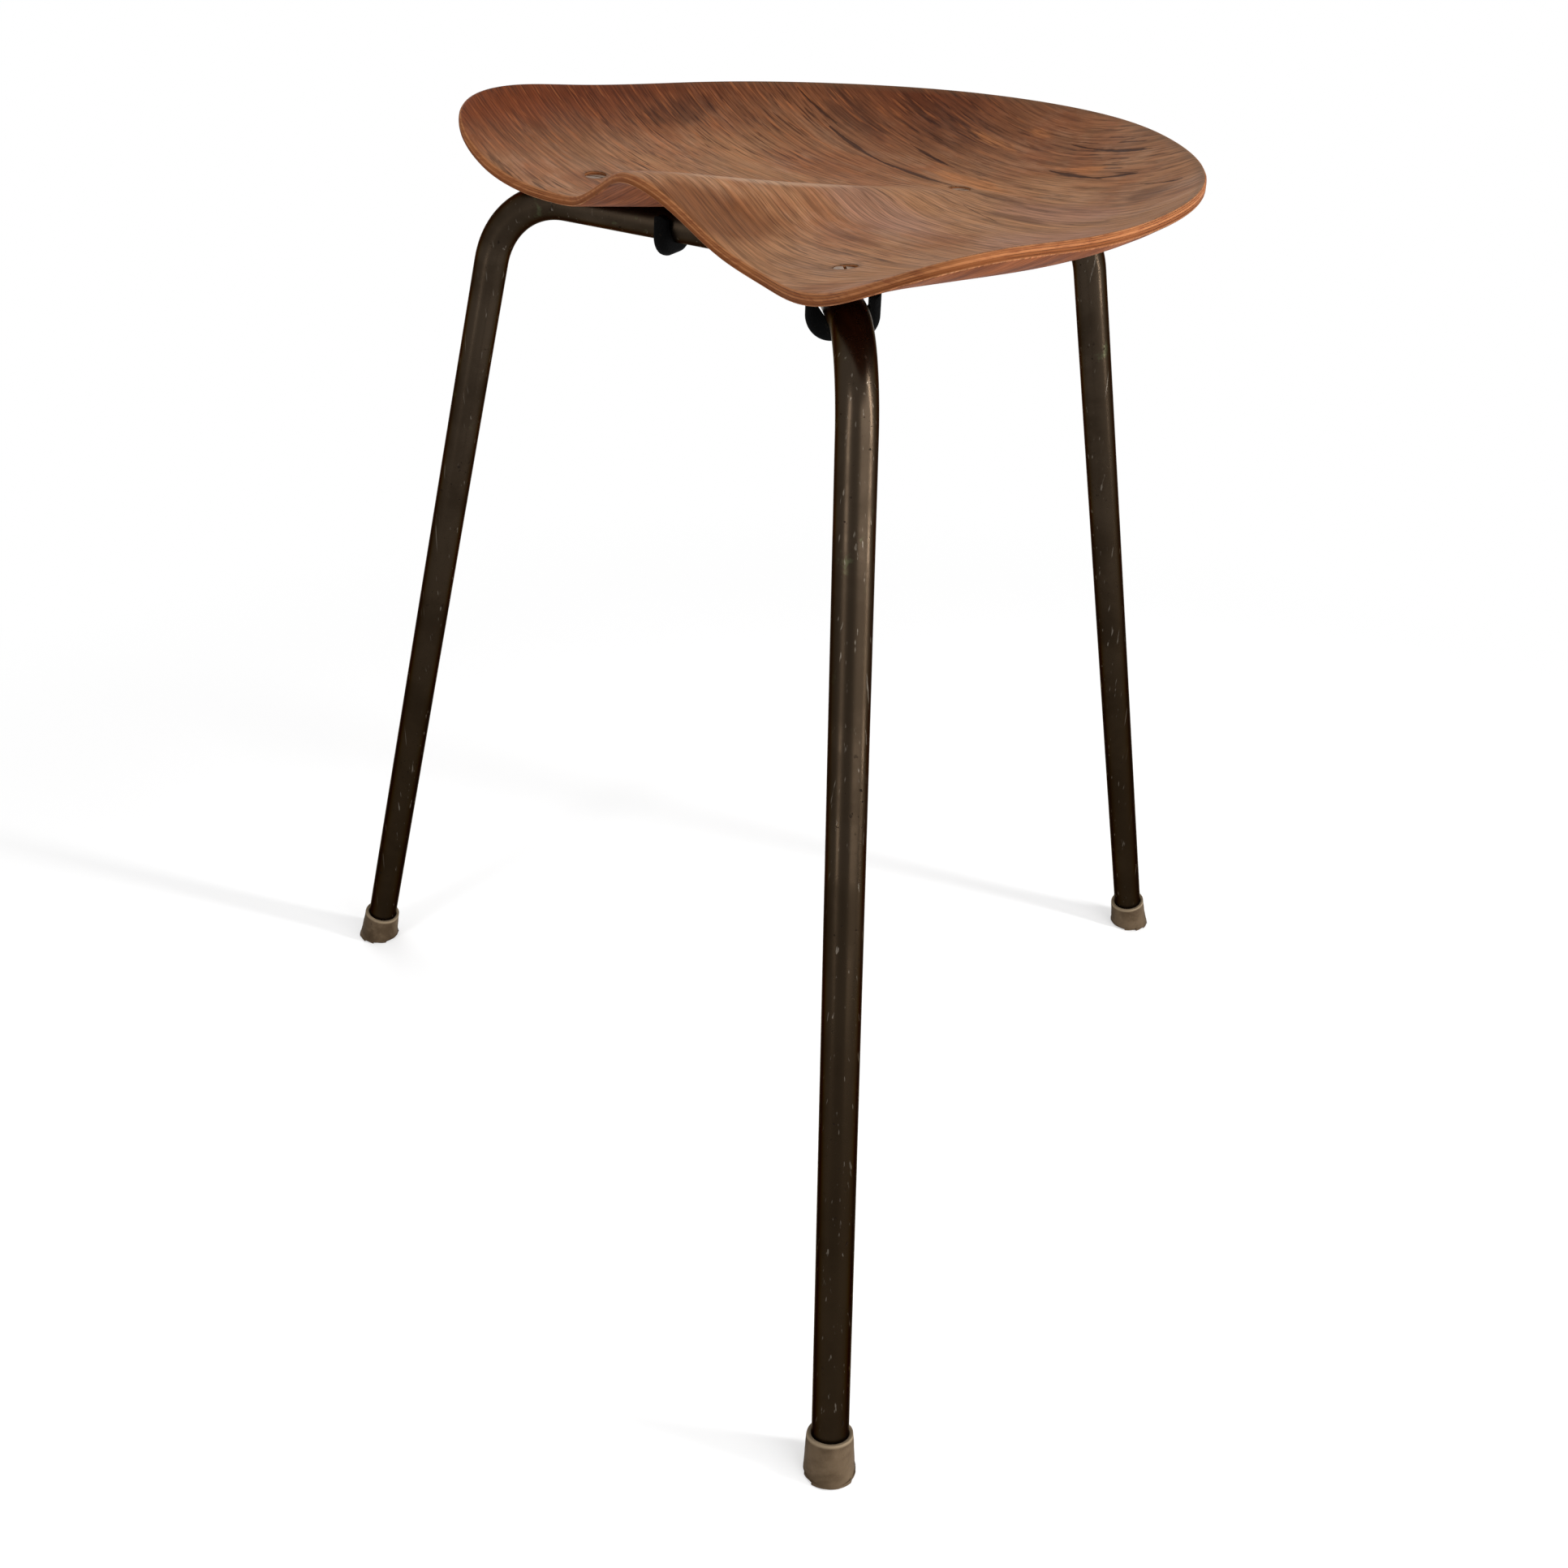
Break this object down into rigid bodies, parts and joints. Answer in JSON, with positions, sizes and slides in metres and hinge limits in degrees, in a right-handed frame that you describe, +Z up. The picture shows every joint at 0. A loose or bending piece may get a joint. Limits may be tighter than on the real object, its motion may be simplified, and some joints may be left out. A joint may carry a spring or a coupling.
{
  "type": "tripod stool",
  "caption": "Low stool with a moulded plywood saddle seat screwed to a tripod of bent steel tubes with rubber feet.",
  "frame": {"origin": "on the floor, at the middle of the bottom of the stool's box; the tripod's hub axis lies 68.3 mm in front of it", "axes": "+Z up, -Y towards the front edge with the raised pommel, +X to the right as seen from the front"},
  "size_m": [0.496, 0.4326, 0.4982],
  "materials": {
    "plywood": "worn satin varnish on a warm brown face veneer",
    "tube_steel": "aged dark patina with a low gleam",
    "bare_steel": "plain zinc-plated steel",
    "screw_steel": "darkened steel screw heads",
    "foot_rubber": "grey-brown worn rubber",
    "black_rubber": "matt black rubber"
  },
  "bodies": {
    "root": {"seat": "plywood", "front_left_leg": "tube_steel", "front_right_leg": "tube_steel", "rear_leg": "tube_steel", "hub_plate": "tube_steel", "front_left_foot": "foot_rubber", "front_right_foot": "foot_rubber", "rear_foot": "foot_rubber", "foot_discs": "bare_steel", "seat_screws": "screw_steel", "screw_bushes": "bare_steel", "front_spacers": "black_rubber", "rear_spacer": "black_rubber", "front_left_clip": "black_rubber", "front_right_clip": "black_rubber", "rear_clip": "black_rubber"}
  },
  "joints": []
}
